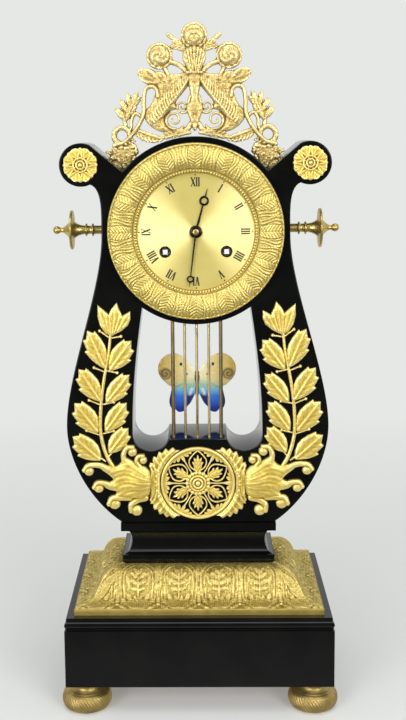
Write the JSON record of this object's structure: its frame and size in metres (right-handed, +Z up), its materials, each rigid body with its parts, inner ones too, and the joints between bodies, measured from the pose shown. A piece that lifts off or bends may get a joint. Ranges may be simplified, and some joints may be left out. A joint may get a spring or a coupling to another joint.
{
  "type": "lyre clock",
  "caption": "Lyre-shaped mantel clock: black lyre on a stepped base with gilt mounts, striking movement, moon hands and a butterfly pendulum behind strings.",
  "frame": {"origin": "on the floor at the middle of the base", "axes": "+Z up, -Y towards the viewer of the dial, +X to the viewer's right"},
  "size_m": [0.2258, 0.1466, 0.5299],
  "materials": {
    "ebonised_wood": "black french polish over wood",
    "carcass_wood": "plain sawn carcass wood",
    "gilt_mount": "fire gilt, matt ground with burnished edges",
    "gilt_dial": "gilt, brushed in circles",
    "antique_brass": "lacquered brass, mellowed",
    "clock_brass": "polished clock brass",
    "bell_metal": "turned bell metal",
    "steel": "polished steel",
    "blued_steel": "blued steel, nearly black",
    "enamel": "painted enamel on copper"
  },
  "bodies": {
    "case": {"base_board": "carcass_wood", "plinth_box": "ebonised_wood", "plinth_top": "ebonised_wood", "foot_front_left": "antique_brass", "foot_front_right": "antique_brass", "foot_back_left": "antique_brass", "foot_back_right": "antique_brass", "foot_screws": "steel", "cushion_core": "carcass_wood", "cushion_moulding": "gilt_mount", "pedestal": "ebonised_wood", "tie_bolts": "steel", "lyre_frame": "ebonised_wood", "rosette_left": "gilt_mount", "rosette_right": "gilt_mount", "peg_left": "antique_brass", "peg_right": "antique_brass", "strings": "antique_brass", "branch_left": "gilt_mount", "branch_right": "gilt_mount", "medallion": "gilt_mount", "crest": "gilt_mount", "movement_case": "antique_brass", "bezel": "gilt_mount", "sight_ring": "gilt_mount", "dial": "gilt_dial", "front_plate": "clock_brass", "back_plate": "clock_brass", "pillars": "clock_brass", "back_cock": "clock_brass", "bell": "bell_metal", "bell_stand": "steel", "door_hinge_pin": "steel"},
    "minute_hand": {"cannon_pinion": "steel", "minute_hand": "blued_steel", "hand_nut": "clock_brass"},
    "hour_hand": {"hour_wheel": "clock_brass", "hour_hand": "blued_steel"},
    "minute_wheel": {"minute_wheel": "clock_brass"},
    "escape_wheel": {"escape_wheel": "clock_brass"},
    "third_wheel": {"third_wheel": "clock_brass"},
    "centre_wheel": {"centre_wheel": "clock_brass"},
    "intermediate_wheel": {"intermediate_wheel": "clock_brass"},
    "going_barrel": {"going_barrel": "clock_brass", "going_mainspring": "steel"},
    "going_arbor": {"going_arbor": "steel"},
    "going_click": {"going_click": "steel"},
    "fly": {"fly": "clock_brass"},
    "warning_wheel": {"warning_wheel": "clock_brass"},
    "pin_wheel": {"pin_wheel": "clock_brass"},
    "count_wheel": {"count_wheel": "clock_brass"},
    "strike_barrel": {"strike_barrel": "clock_brass", "strike_mainspring": "steel"},
    "strike_arbor": {"strike_arbor": "steel"},
    "strike_click": {"strike_click": "steel"},
    "hammer": {"hammer": "steel"},
    "pendulum": {"pendulum_rod": "steel", "butterfly_bob": "enamel"},
    "anchor": {"anchor": "steel"},
    "rear_door": {"rear_door": "antique_brass"}
  },
  "joints": [
    {"name": "minute_hand_turn", "type": "hinge", "parent": "case", "child": "minute_hand", "pos_m": [0, -0.029, 0.3707], "axis": [0, 1, 0], "continuous": true},
    {"name": "hour_hand_turn", "type": "hinge", "parent": "case", "child": "hour_hand", "pos_m": [0, -0.028, 0.3707], "axis": [0, 1, 0], "continuous": true},
    {"name": "minute_wheel_turn", "type": "hinge", "parent": "case", "child": "minute_wheel", "pos_m": [0.006, -0.018, 0.38109], "axis": [0, 1, 0], "continuous": true},
    {"name": "escape_wheel_turn", "type": "hinge", "parent": "case", "child": "escape_wheel", "pos_m": [0, 0.001, 0.3877], "axis": [0, 1, 0], "continuous": true},
    {"name": "third_wheel_turn", "type": "hinge", "parent": "case", "child": "third_wheel", "pos_m": [0.0097, 0.001, 0.37966], "axis": [0, 1, 0], "continuous": true},
    {"name": "centre_wheel_turn", "type": "hinge", "parent": "case", "child": "centre_wheel", "pos_m": [0, 0.001, 0.3707], "axis": [0, 1, 0], "continuous": true},
    {"name": "intermediate_wheel_turn", "type": "hinge", "parent": "case", "child": "intermediate_wheel", "pos_m": [0.00555, 0.001, 0.35785], "axis": [0, 1, 0], "continuous": true},
    {"name": "going_barrel_turn", "type": "hinge", "parent": "case", "child": "going_barrel", "pos_m": [0.0236, 0.001, 0.3553], "axis": [0, 1, 0], "continuous": true},
    {"name": "going_winding", "type": "hinge", "parent": "case", "child": "going_arbor", "pos_m": [0.0236, -0.019, 0.3553], "axis": [0, 1, 0], "range_deg": [0, 1440]},
    {"name": "going_click_lift", "type": "hinge", "parent": "case", "child": "going_click", "pos_m": [0.0266, -0.017, 0.3663], "axis": [0, 1, 0], "range_deg": [0, 10], "stiffness_Nm_per_rad": 0.002},
    {"name": "fly_turn", "type": "hinge", "parent": "case", "child": "fly", "pos_m": [-0.02682, 0.001, 0.39119], "axis": [0, 1, 0], "continuous": true},
    {"name": "warning_wheel_turn", "type": "hinge", "parent": "case", "child": "warning_wheel", "pos_m": [-0.01854, 0.001, 0.39421], "axis": [0, 1, 0], "continuous": true},
    {"name": "pin_wheel_turn", "type": "hinge", "parent": "case", "child": "pin_wheel", "pos_m": [-0.01344, 0.001, 0.38537], "axis": [0, 1, 0], "continuous": true},
    {"name": "count_wheel_turn", "type": "hinge", "parent": "case", "child": "count_wheel", "pos_m": [-0.02044, 0.001, 0.37325], "axis": [0, 1, 0], "continuous": true},
    {"name": "strike_barrel_turn", "type": "hinge", "parent": "case", "child": "strike_barrel", "pos_m": [-0.0236, 0.001, 0.3553], "axis": [0, 1, 0], "continuous": true},
    {"name": "strike_winding", "type": "hinge", "parent": "case", "child": "strike_arbor", "pos_m": [-0.0236, -0.019, 0.3553], "axis": [0, -1, 0], "range_deg": [0, 1440]},
    {"name": "strike_click_lift", "type": "hinge", "parent": "case", "child": "strike_click", "pos_m": [-0.0266, -0.017, 0.3663], "axis": [0, -1, 0], "range_deg": [0, 10], "stiffness_Nm_per_rad": 0.002},
    {"name": "hammer_lift", "type": "hinge", "parent": "case", "child": "hammer", "pos_m": [-0.031, 0.001, 0.3837], "axis": [0, -1, 0], "range_deg": [0, 14], "stiffness_Nm_per_rad": 0.01},
    {"name": "pendulum_swing", "type": "hinge", "parent": "case", "child": "pendulum", "pos_m": [0, 0.027, 0.3997], "axis": [0, 1, 0], "range_deg": [-4, 4]},
    {"name": "anchor_rock", "type": "hinge", "parent": "case", "child": "anchor", "pos_m": [0, 0.001, 0.3997], "axis": [0, 1, 0], "range_deg": [-4, 4]},
    {"name": "rear_door_swing", "type": "hinge", "parent": "case", "child": "rear_door", "pos_m": [0.0647, 0.055, 0.3707], "axis": [0, 0, -1], "range_deg": [0, 110]}
  ],
  "couplings": [
    {"joint": "hour_hand_turn", "follows": "minute_hand_turn", "ratio": 0.083333},
    {"joint": "minute_wheel_turn", "follows": "minute_hand_turn", "ratio": -0.33333},
    {"joint": "third_wheel_turn", "follows": "escape_wheel_turn", "ratio": -0.071429},
    {"joint": "centre_wheel_turn", "follows": "escape_wheel_turn", "ratio": 0.0071429},
    {"joint": "intermediate_wheel_turn", "follows": "escape_wheel_turn", "ratio": -0.0011905},
    {"joint": "going_barrel_turn", "follows": "escape_wheel_turn", "ratio": 0.00014881},
    {"joint": "warning_wheel_turn", "follows": "fly_turn", "ratio": -0.125},
    {"joint": "pin_wheel_turn", "follows": "fly_turn", "ratio": 0.016667},
    {"joint": "count_wheel_turn", "follows": "fly_turn", "ratio": -0.0027778},
    {"joint": "strike_barrel_turn", "follows": "fly_turn", "ratio": 0.00034722},
    {"joint": "anchor_rock", "follows": "pendulum_swing", "ratio": 1}
  ]
}
